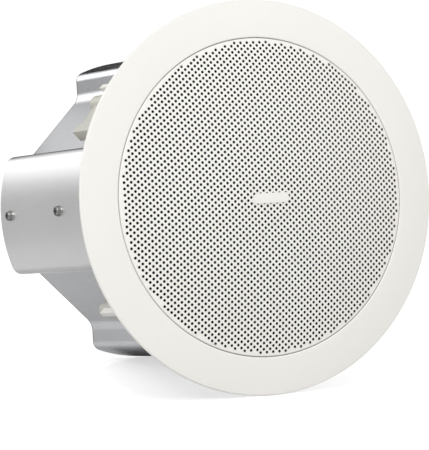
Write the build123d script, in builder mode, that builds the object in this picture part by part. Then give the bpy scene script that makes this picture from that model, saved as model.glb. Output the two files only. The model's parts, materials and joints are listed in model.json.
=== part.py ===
from build123d import *
import os
from math import ceil, cos, radians, sin, sqrt

# In-ceiling speaker: domed grille in a trim ring, lobed steel back can with a wiring
# compartment, coaxial driver, line transformer and four swing-out clamps.
# The grille faces -Y and the back can runs towards +Y. The origin is the centre of the
# trim ring's ceiling face. Sketch planes look at the speaker from the front, with X to the
# right and Z up, so a negative extrusion runs backwards into the ceiling.

# Trim ring and baffle
grille_radius = 77.0
grille_gap = 0.35
grille_ledge_width = 4.0
grille_ledge_height = 1.2
ring_width = 19.0
ring_rim_height = 1.4
ring_front = 4.1
ring_crown = 0.35
ring_edge_round = 0.6
spigot_wall = 3.2
baffle_thickness = 2.5
groove_inner_land = 4.3
groove_outer_land = 3.5
groove_depth = 0.8
groove_rib_count = 24
groove_rib_width = 1.4

# Grille, cloth and badge
grille_rise = 7.75
grille_sheet = 0.8
grille_flange = 2.7
grille_hole_radius = 3.1
grille_hole_margin = 7.5
grille_pitch_x = 18.98
grille_pitch_z = 16.46
cloth_thickness = 0.3
cloth_clearance = 0.8
badge_length = 19.2
badge_height = 4.9
badge_corner = 2.15
badge_thickness = 0.6
badge_x = 0.5
badge_z = -0.8

# Grille magnets
magnet_disc_radius = 3.0
magnet_disc_thickness = 1.8
magnet_inset = 7.0
magnet_angle = 22.0
magnet_post_margin = 0.4
magnet_post_height = 1.7

# Back can
can_step = 3.7
can_depth = 133.5
can_sheet = 0.8
recess_behind_clamp = 9.9
recess_half_width = 19.67
lobe_corner = 5.0
least_round = 0.5
valley_bend = 8.0
partition_setback = 0.2
partition_bend = 0.5
rear_plate_thickness = 1.0
rear_plate_flange = 6.0
rear_plate_clearance = 0.15
rear_dish_radius = 36.0
rear_dish_depth = 1.2
seam_round = 0.45
ear_width = 10.0
ear_length = 13.5
can_screw_inset = 8.5
can_screw_angle = 20.0
can_screw_radius = 1.5
can_screw_head = 2.8
can_screw_tail = 1.6
flat_head_taper = 15.0

# Terminal cover on the left lobe
cover_stand_out = 0.8
cover_corner = 6.0
cover_front_gap = 0.6
cover_edge_gap = 0.25
cover_screw_rear_margin = 12.0
cover_screw_spacing = 58.0
cover_screw_radius = 1.5
cover_screw_play = 0.2
cover_screw_length = 8.0
cover_head_radius = 2.75
cover_head_height = 1.9
cover_head_taper = 12.0
cross_width = 0.9
cross_length = 3.3
cross_depth = 1.1
post_radius = 3.5
cover_post_gap = 0.15
grommet_inset = 11.0
grommet_z = 16.0
grommet_hole = 6.2
grommet_flange = 8.0
grommet_bore = 4.2
grommet_flange_thickness = 1.6

# Safety eye on the rear plate
eye_inset = 16.5
eye_width = 16.0
eye_thickness = 1.5
eye_base = 13.0
eye_reach = 14.0
eye_hole = 3.5

# Clamps in the four slanted recesses
clamp_count = 4
clamp_first_angle = 43.8
clamp_inset = 8.2
clamp_hub_end = 70.5
clamp_hub_length = 24.5
clamp_hub_radius = 4.1
clamp_hub_round = 2.0
clamp_hub_wall = 3.0
clamp_hub_play = 0.4
clamp_arm_thickness = 4.0
clamp_arm_length = 24.5
clamp_arm_root_depth = 20.0
clamp_arm_tip_depth = 10.6
clamp_foot_width = 6.0
clamp_foot_reach = 13.2
clamp_foot_inside = 2.0
clamp_foot_outside = 4.0
clamp_screw_radius = 2.0
clamp_screw_short = 1.5
clamp_screw_chamfer = 0.65
clamp_head_radius = 3.8
clamp_head_height = 2.3
clamp_head_lift = 0.3
clamp_head_clearance = 0.5
clamp_head_taper = 10.0
clamp_boss_radius = 5.5
clamp_boss_end = 14.0
nut_radius = 3.0
nut_length = 10.0
nut_flange_radius = 3.7
nut_flange_thickness = 1.0
running_gap = 0.06
stop_offset = 4.0
stop_margin = 0.7
stop_side = 2.6
stop_thickness = 2.4
stop_end = 58.5

# Driver
driver_hole = 49.0
gasket_thickness = 0.8
gasket_margin = 0.5
basket_sheet = 1.0
basket_flange_width = 7.0
basket_hole_gap = 1.0
basket_ledge_outer = 36.0
basket_ledge_inner = 30.5
basket_ledge_depth = 18.0
basket_seat_radius = 24.0
basket_seat_depth = 25.0
basket_window_count = 6
wall_window_width = 27.0
wall_window_margin = 2.0
seat_window_width = 14.4
seat_window_margin = 0.75
driver_screw_margin = 4.0
driver_screw_radius = 1.4
driver_screw_head = 2.5
driver_screw_tail = 1.0
driver_screw_count = 4
surround_rubber = 0.6
surround_land = 1.8
surround_overlap = 0.6
surround_screw_gap = 0.2
roll_radius = 3.3
cone_neck_depth = 12.2
cone_thickness = 0.6
cone_curve_radius = 27.0
cone_curve_depth = 3.2
spider_cloth = 0.5
spider_neck = 1.5
spider_wave = 0.9
spider_wave_count = 5
pole_radius = 12.3
pole_bore = 3.2
pole_gap = 0.3
former_wall = 0.2
former_front = 9.0
former_rear = 31.5
winding_wall = 0.6
winding_front = 25.0
winding_rear = 31.0
winding_gap = 0.5
top_plate_radius = 30.0
top_plate_thickness = 4.0
ferrite_radius = 36.0
ferrite_bore = 16.0
ferrite_thickness = 12.0
yoke_radius = 32.0
yoke_thickness = 4.0
strip_width = 12.0
strip_length = 12.0
strip_thickness = 1.6
strip_margin = 0.5

# Tweeter on the woofer's pole
tweeter_radius = 11.5
tweeter_front = -6.5
tweeter_rear = 4.0
tweeter_wall = 1.2
tweeter_dome_radius = 6.5
tweeter_dome_rise = 2.6
tweeter_dome_sheet = 0.4
tweeter_magnet_radius = 9.0
tweeter_magnet_thickness = 5.0
tweeter_neck_radius = 7.0
tweeter_neck_rear = 12.0
tweeter_stem_rear = 44.0

# Tap selector behind the grille
tap_inset = 11.0
tap_knob_radius = 6.0
tap_knob_front = -3.2
tap_knob_rear = -0.4
tap_knob_flutes = 12
tap_shaft_radius = 1.5
tap_shaft_reach = 3.6
tap_bore_reach = 5.5
tap_bush_radius = 3.2
tap_body_radius = 8.0
tap_body_length = 11.0
tap_slot_width = 1.2
tap_slot_length = 10.0
tap_slot_depth = 1.2

# Line transformer on the rear plate
core_width = 42.0
core_height = 35.0
core_stack = 14.0
core_window_width = 7.0
core_window_height = 21.0
coil_proud = 5.0
coil_gap = 0.2
coil_rear_gap = 0.8
bracket_sheet = 1.2
bracket_foot = 9.0
bracket_width = 18.0
bracket_window_gap = 0.5

# Crossover board inside the partition, its parts placed from the board's middle
board_rear_gap = 15.5
board_length = 60.0
board_height = 48.0
board_thickness = 1.6
board_spacer = 3.0
board_spacer_radius = 2.5
board_spacer_inset = 3.75
inductor_place = (-15.0, 9.6)
inductor_radius = 11.0
inductor_bore = 4.5
inductor_height = 12.0
capacitor_place = (2.0, -12.0)
capacitor_radius = 6.0
capacitor_length = 24.0
resistor_place = (15.0, 12.0)
resistor_width = 8.0
resistor_length = 22.0

# Connector in the wiring compartment
socket_width = 30.0
socket_rear_gap = 33.5
socket_length = 16.0
socket_height = 9.0
socket_wall = 1.2
socket_floor_gap = 1.0
plug_length = 20.0
plug_insert = 6.0
plug_gap = 0.15
plug_ways = 6
plug_pitch = 4.6
plug_wire_radius = 1.3
plug_wire_depth = 6.7
plug_screw_place = 14.0
plug_screw_depth = 1.0

# Foam lining and leads
lining_thickness = 5.0
lining_front = 52.0
lining_length = 50.0
lining_cut_back = 16.4
lead_radius = 1.4
lead_sink = 0.4
lead_bend_share = 0.45

# How closely an edge or corner is picked out by its place
pick_tolerance = 0.02

# Values that follow from the sizes above
ring_radius = grille_radius + ring_width
spigot_radius = grille_radius + spigot_wall
groove_inner = spigot_radius + groove_inner_land
groove_outer = ring_radius - groove_outer_land
ledge_inner = grille_radius - grille_ledge_width
magnet_circle = grille_radius - magnet_inset
tap_circle = grille_radius - tap_inset
cloth_radius = grille_radius - grille_sheet - cloth_clearance
hole_field = grille_radius - grille_hole_margin
dome_radius = (grille_radius**2 + grille_rise**2) / (2 * grille_rise)
dome_apex = -ring_front - grille_rise
dome_centre = dome_apex + dome_radius
clamp_circle = spigot_radius - clamp_inset
clamp_hub_front = clamp_hub_end - clamp_hub_length
can_radius = spigot_radius - can_step
flat_distance = clamp_circle - recess_behind_clamp
lobe_half_width = (flat_distance - recess_half_width) / sqrt(2)
valley_reach = (flat_distance + recess_half_width) / sqrt(2)
partition_distance = valley_reach - partition_setback
partition_inside = partition_distance - can_sheet
can_screw_circle = can_radius - can_screw_inset
ear_inner = can_radius - ear_length
wall_rear = can_depth - rear_plate_thickness
cover_radius = can_radius + cover_stand_out
cover_front = baffle_thickness + cover_front_gap
cover_edge = partition_distance + cover_edge_gap
grommet_x = cover_radius - grommet_inset
eye_height = can_radius - eye_inset
stop_length = spigot_radius - stop_margin - clamp_circle - stop_offset
basket_throat = driver_hole - basket_hole_gap - basket_sheet
basket_flange = driver_hole + basket_flange_width
gasket_outer = basket_flange - gasket_margin
driver_screw_circle = driver_hole + driver_screw_margin
cone_edge = basket_throat + surround_overlap - 2 * roll_radius
flange_front = -gasket_thickness - basket_sheet
former_inner = pole_radius + pole_gap
former_outer = former_inner + former_wall
winding_outer = former_outer + winding_wall
top_plate_front = basket_seat_depth + basket_sheet
ferrite_front = top_plate_front + top_plate_thickness
yoke_front = ferrite_front + ferrite_thickness
dish_face = can_depth - rear_dish_depth - rear_plate_thickness
core_rear = dish_face - coil_rear_gap - coil_proud
core_front = core_rear - core_stack
board_front = can_depth - board_rear_gap - board_length
board_inner = partition_inside - board_spacer - board_thickness
socket_front = can_depth - socket_rear_gap - socket_length
plug_front = socket_front + socket_length - plug_insert

os.makedirs("parts", exist_ok=True)


def front_plane(depth):
    """Plane at a depth behind the ceiling face, seen from the front."""
    return Plane.XZ.offset(-depth)


def save(builder, name):
    """Labels a finished piece and writes it under its node name."""
    builder.part.label = name
    export_step(builder.part, f"parts/{name}.step")


def dome_y(radius, sheet_in=0.0):
    """Depth of the grille's dome at a radius, sheet_in below its outer face."""
    return dome_centre - sqrt((dome_radius - sheet_in) ** 2 - radius**2)


def corners_at(outline, radius):
    """Corners of an outline that lie at a radius from the speaker's axis."""
    return outline.vertices().filter_by(lambda v: abs(sqrt(v.X**2 + v.Y**2) - radius) < pick_tolerance)


def can_outline(depth, inset):
    """Outline of the back can: three round lobes, four slanted flats and a flat left side."""
    half_width = lobe_half_width - inset
    flat = flat_distance - inset
    reach = 2 * can_radius
    left = partition_distance - inset
    with BuildSketch(front_plane(depth)) as outline:
        Rectangle(2 * half_width, 2 * reach)
        Rectangle(2 * reach, 2 * half_width)
        Rectangle(2 * flat, 2 * flat, rotation=45)
        Circle(can_radius - inset, mode=Mode.INTERSECT)
        with Locations((-left - reach / 2, 0)):
            Rectangle(reach, 2 * reach, mode=Mode.SUBTRACT)
        fillet(corners_at(outline, can_radius - inset), max(lobe_corner - inset, least_round))
        left_ends = outline.vertices().filter_by(lambda v: v.X < -left + pick_tolerance)
        fillet(left_ends, max(partition_bend - inset, least_round))
        valley_radius = sqrt(2 * flat**2 - 2 * sqrt(2) * flat * half_width + 2 * half_width**2)
        fillet(corners_at(outline, valley_radius), valley_bend + inset)
    return outline.sketch


def cover_outline(depth, inset, inner_edge):
    """Outline of the left lobe, from its round outer side to an inner edge."""
    with BuildSketch(front_plane(depth)) as outline:
        with Locations((-(cover_radius + inner_edge) / 2, 0)):
            Rectangle(cover_radius - inner_edge, 2 * (lobe_half_width - inset))
        Circle(cover_radius - inset, mode=Mode.INTERSECT)
        fillet(outline.vertices().group_by(Axis.X)[0], cover_corner - inset)
    return outline.sketch


def clamp_plane(number, depth):
    """Plane at a clamp's screw: local X points outwards and local Y clockwise from the front."""
    angle = radians(clamp_first_angle + number * 360 / clamp_count)
    place = (clamp_circle * cos(angle), depth, clamp_circle * sin(angle))
    return Plane(origin=place, x_dir=(cos(angle), 0, sin(angle)), z_dir=(0, 1, 0))


def arm_plane(number, out):
    """Plane along a clamp's arm, out from its screw: local X is clockwise, local Y behind the hub's front."""
    screw = clamp_plane(number, clamp_hub_front)
    return Plane(origin=screw.origin, x_dir=screw.y_dir, z_dir=screw.x_dir).offset(out)


def polar_points(radius, angles):
    """Points on a circle about the speaker's axis, at angles in degrees."""
    return [(radius * cos(radians(a)), radius * sin(radians(a))) for a in angles]


driver_screw_points = polar_points(
    driver_screw_circle, [45 + n * 360 / driver_screw_count for n in range(driver_screw_count)]
)
can_screw_angles = [90 - can_screw_angle, 90 + can_screw_angle, 270 - can_screw_angle, 270 + can_screw_angle]
can_screw_points = polar_points(can_screw_circle, can_screw_angles)
magnet_angles = [magnet_angle, 180 - magnet_angle, 180 + magnet_angle, 360 - magnet_angle]
magnet_points = polar_points(magnet_circle, magnet_angles)
rear_screw_depth = can_depth - cover_screw_rear_margin
cover_screw_depths = [rear_screw_depth - cover_screw_spacing, rear_screw_depth]

# Front baffle and trim ring, one moulding with the clamp bosses and arm stops
with BuildPart() as front_baffle:
    with BuildSketch(Plane.XY):
        with BuildLine():
            rim = Polyline((ring_radius, 0), (ring_radius, -ring_rim_height))
            crown = ThreePointArc(
                rim @ 1,
                ((ring_radius + grille_radius) / 2, -(ring_rim_height + ring_front) / 2 - ring_crown),
                (grille_radius + grille_gap, -ring_front),
            )
            Polyline(
                crown @ 1,
                (grille_radius + grille_gap, -grille_ledge_height),
                (ledge_inner, -grille_ledge_height),
                (ledge_inner, 0),
                (driver_hole, 0),
                (driver_hole, baffle_thickness),
                (spigot_radius, baffle_thickness),
                (spigot_radius, 0),
                rim @ 0,
            )
        make_face()
    revolve(axis=Axis.Y)
    front_edges = front_baffle.edges().filter_by(GeomType.CIRCLE).group_by(Axis.Y)[0]
    fillet(front_edges, ring_edge_round)
    rim_edge = front_baffle.edges().filter_by(lambda e: abs(e.center().Y + ring_rim_height) < pick_tolerance)
    fillet(rim_edge, ring_edge_round)
    with BuildSketch(front_plane(0)):
        Circle(groove_outer)
        Circle(groove_inner, mode=Mode.SUBTRACT)
        with PolarLocations((groove_inner + groove_outer) / 2, groove_rib_count):
            Rectangle(ring_radius - spigot_radius, groove_rib_width, mode=Mode.SUBTRACT)
    extrude(amount=groove_depth, mode=Mode.SUBTRACT)
    with BuildSketch(front_plane(0)):
        with Locations(magnet_points):
            Circle(magnet_disc_radius + magnet_post_margin)
    extrude(amount=magnet_post_height)
    for number in range(clamp_count):
        with BuildSketch(clamp_plane(number, baffle_thickness)):
            Circle(clamp_boss_radius)
        extrude(amount=clamp_boss_end - baffle_thickness)
        with BuildSketch(clamp_plane(number, baffle_thickness)):
            with Locations((stop_offset + stop_length / 2, stop_side + stop_thickness / 2)):
                Rectangle(stop_length, stop_thickness)
        extrude(amount=stop_end - baffle_thickness)
        with BuildSketch(clamp_plane(number, baffle_thickness)):
            Circle(clamp_screw_radius + running_gap)
        extrude(amount=clamp_boss_end, both=True, mode=Mode.SUBTRACT)
        with BuildSketch(clamp_plane(number, 0)):
            Circle(clamp_head_radius + clamp_head_clearance)
        extrude(amount=-ring_front, mode=Mode.SUBTRACT)
    with BuildSketch(front_plane(0)):
        with Locations(driver_screw_points):
            Circle(driver_screw_radius)
        with Locations(can_screw_points):
            Circle(can_screw_radius)
        with Locations((0, -tap_circle)):
            Circle(tap_bush_radius)
    extrude(amount=-baffle_thickness, mode=Mode.SUBTRACT)
save(front_baffle, "front_baffle")

# Domed grille of perforated sheet, with its edge turned back into the ring
columns = ceil(2 * hole_field / grille_pitch_x)
rows = ceil(2 * hole_field / grille_pitch_z)
coarse_grid = [
    (column * grille_pitch_x / 2, row * grille_pitch_z / 2)
    for column in range(-columns, columns + 1)
    for row in range(-rows, rows + 1)
    if (column + row) % 2 == 0
]
coarse_holes = [p for p in coarse_grid if sqrt(p[0] ** 2 + p[1] ** 2) < hole_field]
with BuildPart() as grille:
    with BuildSketch(Plane.XY):
        with BuildLine():
            outer = ThreePointArc(
                (0, dome_apex), (grille_radius / 2, dome_y(grille_radius / 2)), (grille_radius, -ring_front)
            )
            inner_edge = grille_radius - grille_sheet
            edge = Polyline(
                outer @ 1,
                (grille_radius, -ring_front + grille_flange),
                (inner_edge, -ring_front + grille_flange),
                (inner_edge, dome_y(inner_edge, grille_sheet)),
            )
            inner = ThreePointArc(
                edge @ 1,
                (grille_radius / 2, dome_y(grille_radius / 2, grille_sheet)),
                (0, dome_apex + grille_sheet),
            )
            Line(inner @ 1, outer @ 0)
        make_face()
    revolve(axis=Axis.Y)
    shoulder = grille.edges().filter_by(lambda e: abs(e.center().Y + ring_front) < pick_tolerance)
    fillet(shoulder, ring_edge_round)
    with BuildSketch(front_plane(dome_apex - grille_sheet)):
        with Locations(coarse_holes):
            Circle(grille_hole_radius)
    extrude(amount=-grille_rise - 2 * grille_sheet, mode=Mode.SUBTRACT)
save(grille, "grille")

# Black cloth behind the grille's holes
with BuildPart() as grille_cloth:
    with BuildSketch(Plane.XY):
        with BuildLine():
            cloth_back = grille_sheet + cloth_thickness
            outer = ThreePointArc(
                (0, dome_y(0, grille_sheet)),
                (cloth_radius / 2, dome_y(cloth_radius / 2, grille_sheet)),
                (cloth_radius, dome_y(cloth_radius, grille_sheet)),
            )
            inner = ThreePointArc(
                (cloth_radius, dome_y(cloth_radius, cloth_back)),
                (cloth_radius / 2, dome_y(cloth_radius / 2, cloth_back)),
                (0, dome_y(0, cloth_back)),
            )
            Line(outer @ 1, inner @ 0)
            Line(inner @ 1, outer @ 0)
        make_face()
    revolve(axis=Axis.Y)
save(grille_cloth, "grille_cloth")

# Bare badge plate, curved to lie on the dome
with BuildPart() as badge:
    with BuildSketch(front_plane(dome_apex - 2 * badge_thickness)):
        with Locations((badge_x, badge_z)):
            RectangleRounded(badge_length, badge_height, badge_corner)
    extrude(amount=-4 * badge_thickness)
    with Locations((0, dome_centre, 0)):
        Sphere(dome_radius + badge_thickness, mode=Mode.INTERSECT)
        Sphere(dome_radius, mode=Mode.SUBTRACT)
save(badge, "badge")

# Disc magnets that hold the grille, on four posts of the baffle
with BuildPart() as grille_magnets:
    with BuildSketch(front_plane(-magnet_post_height)):
        with Locations(magnet_points):
            Circle(magnet_disc_radius)
    extrude(amount=magnet_disc_thickness)
save(grille_magnets, "grille_magnets")

# Back can: a folded sheet wall with four inward ears that take the can screws
with BuildPart() as back_can:
    extrude(can_outline(baffle_thickness, 0), amount=-(wall_rear - baffle_thickness))
    extrude(
        can_outline(baffle_thickness, can_sheet), amount=-(wall_rear - baffle_thickness), mode=Mode.SUBTRACT
    )
    ear_middle = (ear_inner + can_radius - can_sheet / 2) / 2
    with BuildSketch(front_plane(baffle_thickness)):
        for angle, middle in zip(can_screw_angles, polar_points(ear_middle, can_screw_angles)):
            with Locations(Location((middle[0], middle[1], 0), (0, 0, angle))):
                Rectangle(can_radius - can_sheet / 2 - ear_inner, ear_width)
        with Locations(can_screw_points):
            Circle(can_screw_radius, mode=Mode.SUBTRACT)
    extrude(amount=-can_sheet)
save(back_can, "back_can")

# Rear plate: closes the can, with a flange inside the wall and a pressed dish
with BuildPart() as rear_plate:
    flange_inset = can_sheet + rear_plate_clearance
    extrude(can_outline(wall_rear, 0), amount=-rear_plate_thickness)
    rear_rim = rear_plate.faces().sort_by(Axis.Y)[-1].edges()
    fillet(rear_rim, seam_round)
    extrude(can_outline(wall_rear, flange_inset), amount=rear_plate_flange)
    extrude(
        can_outline(wall_rear, flange_inset + can_sheet), amount=rear_plate_flange, mode=Mode.SUBTRACT
    )
    with BuildSketch(front_plane(wall_rear)):
        Circle(rear_dish_radius + rear_plate_thickness)
    extrude(amount=rear_dish_depth)
    with BuildSketch(front_plane(can_depth)):
        Circle(rear_dish_radius)
    extrude(amount=rear_dish_depth, mode=Mode.SUBTRACT)
save(rear_plate, "rear_plate")

# Terminal cover: a deep box lid that forms the left lobe
with BuildPart() as terminal_cover:
    cover_length = can_depth - cover_front
    extrude(cover_outline(cover_front, 0, cover_edge), amount=-cover_length)
    rear_edges = terminal_cover.faces().sort_by(Axis.Y)[-1].edges()
    fillet(rear_edges.filter_by(lambda e: e.center().X < -cover_edge), seam_round)
    extrude(
        cover_outline(cover_front + can_sheet, can_sheet, cover_edge - can_sheet),
        amount=-(cover_length - 2 * can_sheet),
        mode=Mode.SUBTRACT,
    )
    for depth in cover_screw_depths:
        with BuildSketch(Plane(origin=(-cover_radius, depth, 0), z_dir=(-1, 0, 0))):
            Circle(cover_screw_radius + cover_screw_play)
        extrude(amount=can_sheet * 2, both=True, mode=Mode.SUBTRACT)
    with BuildSketch(front_plane(can_depth)):
        with Locations((-grommet_x, grommet_z)):
            Circle(grommet_hole)
    extrude(amount=can_sheet * 2, both=True, mode=Mode.SUBTRACT)
save(terminal_cover, "terminal_cover")

# Posts on the partition that take the cover screws
with BuildPart() as cover_posts:
    post_end = cover_radius - can_sheet - cover_post_gap
    for depth in cover_screw_depths:
        with BuildSketch(Plane(origin=(-partition_distance, depth, 0), z_dir=(-1, 0, 0))):
            RegularPolygon(post_radius, 6)
        extrude(amount=post_end - partition_distance)
        with BuildSketch(Plane(origin=(-post_end, depth, 0), z_dir=(1, 0, 0))):
            Circle(cover_screw_radius)
        extrude(amount=cover_screw_length, mode=Mode.SUBTRACT)
save(cover_posts, "cover_posts")

# Cross-recess screws of the cover
with BuildPart() as cover_screws:
    for depth in cover_screw_depths:
        head_plane = Plane(origin=(-cover_radius, depth, 0), x_dir=(0, 1, 0), z_dir=(-1, 0, 0))
        with BuildSketch(head_plane):
            Circle(cover_head_radius)
        extrude(amount=cover_head_height, taper=cover_head_taper)
        with BuildSketch(head_plane):
            Circle(cover_screw_radius)
        extrude(amount=-(cover_screw_length - can_sheet))
        with BuildSketch(head_plane.offset(cover_head_height)):
            Rectangle(cross_length, cross_width)
            Rectangle(cross_width, cross_length)
        extrude(amount=-cross_depth, mode=Mode.SUBTRACT)
    head_rims = cover_screws.faces().group_by(Axis.X)[0].edges().filter_by(GeomType.CIRCLE)
    fillet(head_rims, ring_edge_round)
save(cover_screws, "cover_screws")

# Rubber grommet where the cable enters the wiring compartment
with BuildPart() as cable_grommet:
    grommet_end = can_depth + grommet_flange_thickness
    grommet_start = can_depth - can_sheet - grommet_flange_thickness
    with BuildSketch(Plane(origin=(-grommet_x, 0, grommet_z), x_dir=(1, 0, 0), z_dir=(0, 0, 1))):
        Polygon(
            (grommet_bore, grommet_start),
            (grommet_flange, grommet_start),
            (grommet_flange, can_depth - can_sheet),
            (grommet_hole, can_depth - can_sheet),
            (grommet_hole, can_depth),
            (grommet_flange, can_depth),
            (grommet_flange - grommet_flange_thickness, grommet_end),
            (grommet_bore, grommet_end),
            align=None,
        )
    revolve(axis=Axis((-grommet_x, 0, grommet_z), (0, 1, 0)))
save(cable_grommet, "cable_grommet")

# Safety eye: an angled tab on the rear plate for a safety cable
with BuildPart() as safety_eye:
    eye_low = eye_height - eye_base / 2
    with BuildSketch(front_plane(can_depth)):
        with Locations((0, eye_height)):
            Rectangle(eye_width, eye_base)
    extrude(amount=-eye_thickness)
    with BuildSketch(Plane.XY.offset(eye_low)):
        with Locations((0, can_depth + eye_reach / 2)):
            Rectangle(eye_width, eye_reach)
        with Locations((0, can_depth + eye_reach - eye_width / 2)):
            Circle(eye_hole, mode=Mode.SUBTRACT)
    extrude(amount=eye_thickness)
    eye_ends = safety_eye.edges().filter_by(Axis.Z).group_by(Axis.Y)[-1]
    fillet(eye_ends, eye_width / 2 - eye_hole)
save(safety_eye, "safety_eye")

# Screws that fix the can to the baffle, driven from behind the grille
with BuildPart() as can_screws:
    with BuildSketch(front_plane(0)):
        with Locations(can_screw_points):
            Circle(can_screw_head)
    extrude(amount=can_screw_radius, taper=flat_head_taper)
    with BuildSketch(front_plane(0)):
        with Locations(can_screw_points):
            Circle(can_screw_radius)
    extrude(amount=-(baffle_thickness + can_sheet + can_screw_tail))
save(can_screws, "can_screws")

# Foam lining on the can's inner wall
with BuildPart() as can_lining:
    extrude(can_outline(lining_front, can_sheet), amount=-lining_length)
    extrude(
        can_outline(lining_front, can_sheet + lining_thickness), amount=-lining_length, mode=Mode.SUBTRACT
    )
    with BuildSketch(front_plane(lining_front)):
        with Locations((lining_cut_back - partition_inside - can_radius / 2, 0)):
            Rectangle(can_radius, 2 * can_radius)
    extrude(amount=-lining_length, mode=Mode.SUBTRACT)
save(can_lining, "can_lining")

# Clamps: a screw, a brass nut sleeve and a dog-leg arm in each slanted recess
for number in range(clamp_count):
    tag = number + 1
    head_front = -clamp_head_lift - clamp_head_height
    with BuildPart() as clamp_screw:
        with BuildSketch(clamp_plane(number, -clamp_head_lift)):
            Circle(clamp_screw_radius)
        extrude(amount=clamp_hub_end - clamp_screw_short + clamp_head_lift)
        with BuildSketch(clamp_plane(number, -clamp_head_lift)):
            Circle(clamp_head_radius)
        extrude(amount=-clamp_head_height, taper=clamp_head_taper)
        with BuildSketch(clamp_plane(number, head_front)):
            Rectangle(cross_length, cross_width)
            Rectangle(cross_width, cross_length)
        extrude(amount=cross_depth, mode=Mode.SUBTRACT)
        chamfer(clamp_screw.faces().sort_by(Axis.Y)[-1].edges(), clamp_screw_chamfer)
    save(clamp_screw, f"clamp_screw_{tag}")

    with BuildPart() as clamp_nut:
        with BuildSketch(clamp_plane(number, clamp_hub_front - nut_flange_thickness)):
            Circle(nut_flange_radius)
        extrude(amount=nut_flange_thickness - running_gap)
        with BuildSketch(clamp_plane(number, clamp_hub_front - running_gap)):
            Circle(nut_radius)
        extrude(amount=nut_length)
        with BuildSketch(clamp_plane(number, clamp_hub_front)):
            Circle(clamp_screw_radius + running_gap)
        extrude(amount=clamp_hub_length, both=True, mode=Mode.SUBTRACT)
    save(clamp_nut, f"clamp_nut_{tag}")

    with BuildPart() as clamp_arm:
        with BuildSketch(clamp_plane(number, clamp_hub_front)):
            Circle(clamp_hub_radius)
        extrude(amount=clamp_hub_length)
        hub_rim = clamp_arm.faces().sort_by(Axis.Y)[-1].edges()
        fillet(hub_rim, clamp_hub_round)
        with BuildSketch(arm_plane(number, -clamp_arm_thickness / 2)):
            Polygon(
                (0, 0),
                (0, clamp_arm_root_depth),
                (-clamp_arm_length, clamp_arm_tip_depth),
                (-clamp_arm_length, 0),
                align=None,
            )
        extrude(amount=clamp_arm_thickness)
        with BuildSketch(arm_plane(number, -clamp_foot_inside)):
            foot_depth = (clamp_arm_tip_depth - clamp_foot_reach) / 2
            with Locations((clamp_foot_width / 2 - clamp_arm_length, foot_depth)):
                Rectangle(clamp_foot_width, clamp_arm_tip_depth + clamp_foot_reach)
        extrude(amount=clamp_foot_inside + clamp_foot_outside)
        with BuildSketch(clamp_plane(number, clamp_hub_front)):
            Circle(nut_radius + running_gap)
        extrude(amount=clamp_hub_length - clamp_hub_wall, mode=Mode.SUBTRACT)
        with BuildSketch(clamp_plane(number, clamp_hub_front)):
            Circle(clamp_screw_radius + clamp_hub_play)
        extrude(amount=clamp_hub_length, mode=Mode.SUBTRACT)
    save(clamp_arm, f"clamp_arm_{tag}")

# Foam gasket between the baffle and the driver
with BuildPart() as driver_gasket:
    with BuildSketch(front_plane(0)):
        Circle(gasket_outer)
        Circle(driver_hole, mode=Mode.SUBTRACT)
        with Locations(driver_screw_points):
            Circle(driver_screw_radius, mode=Mode.SUBTRACT)
    extrude(amount=gasket_thickness)
save(driver_gasket, "driver_gasket")

# Pressed steel basket with windows
with BuildPart() as basket:
    with BuildSketch(Plane.XY):
        Polygon(
            (basket_flange, flange_front),
            (basket_throat, flange_front),
            (basket_throat, baffle_thickness),
            (basket_ledge_outer, basket_ledge_depth),
            (basket_ledge_inner, basket_ledge_depth),
            (basket_seat_radius, basket_seat_depth),
            (former_outer + winding_wall + winding_gap, basket_seat_depth),
            (former_outer + winding_wall + winding_gap, top_plate_front),
            (basket_seat_radius + basket_sheet, top_plate_front),
            (basket_ledge_inner + basket_sheet, basket_ledge_depth + basket_sheet),
            (basket_ledge_outer + basket_sheet, basket_ledge_depth + basket_sheet),
            (basket_throat + basket_sheet, baffle_thickness + basket_sheet),
            (basket_throat + basket_sheet, -gasket_thickness),
            (basket_flange, -gasket_thickness),
            align=None,
        )
    revolve(axis=Axis.Y)
    with BuildSketch(front_plane(baffle_thickness + basket_sheet)):
        with PolarLocations((basket_throat + basket_ledge_outer) / 2, basket_window_count):
            Rectangle(basket_throat - basket_ledge_outer - 2 * wall_window_margin, wall_window_width)
        with PolarLocations((basket_ledge_inner + basket_seat_radius) / 2, basket_window_count):
            Rectangle(basket_ledge_inner - basket_seat_radius - 2 * seat_window_margin, seat_window_width)
    extrude(amount=-top_plate_front, mode=Mode.SUBTRACT)
    with BuildSketch(front_plane(flange_front)):
        with Locations(driver_screw_points):
            Circle(driver_screw_radius)
    extrude(amount=-2 * basket_sheet, mode=Mode.SUBTRACT)
save(basket, "basket")

with BuildPart() as driver_screws:
    with BuildSketch(front_plane(flange_front)):
        with Locations(driver_screw_points):
            Circle(driver_screw_head)
    extrude(amount=driver_screw_radius, taper=flat_head_taper)
    with BuildSketch(front_plane(flange_front)):
        with Locations(driver_screw_points):
            Circle(driver_screw_radius)
    extrude(amount=-(baffle_thickness - flange_front + driver_screw_tail))
save(driver_screws, "driver_screws")

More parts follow.
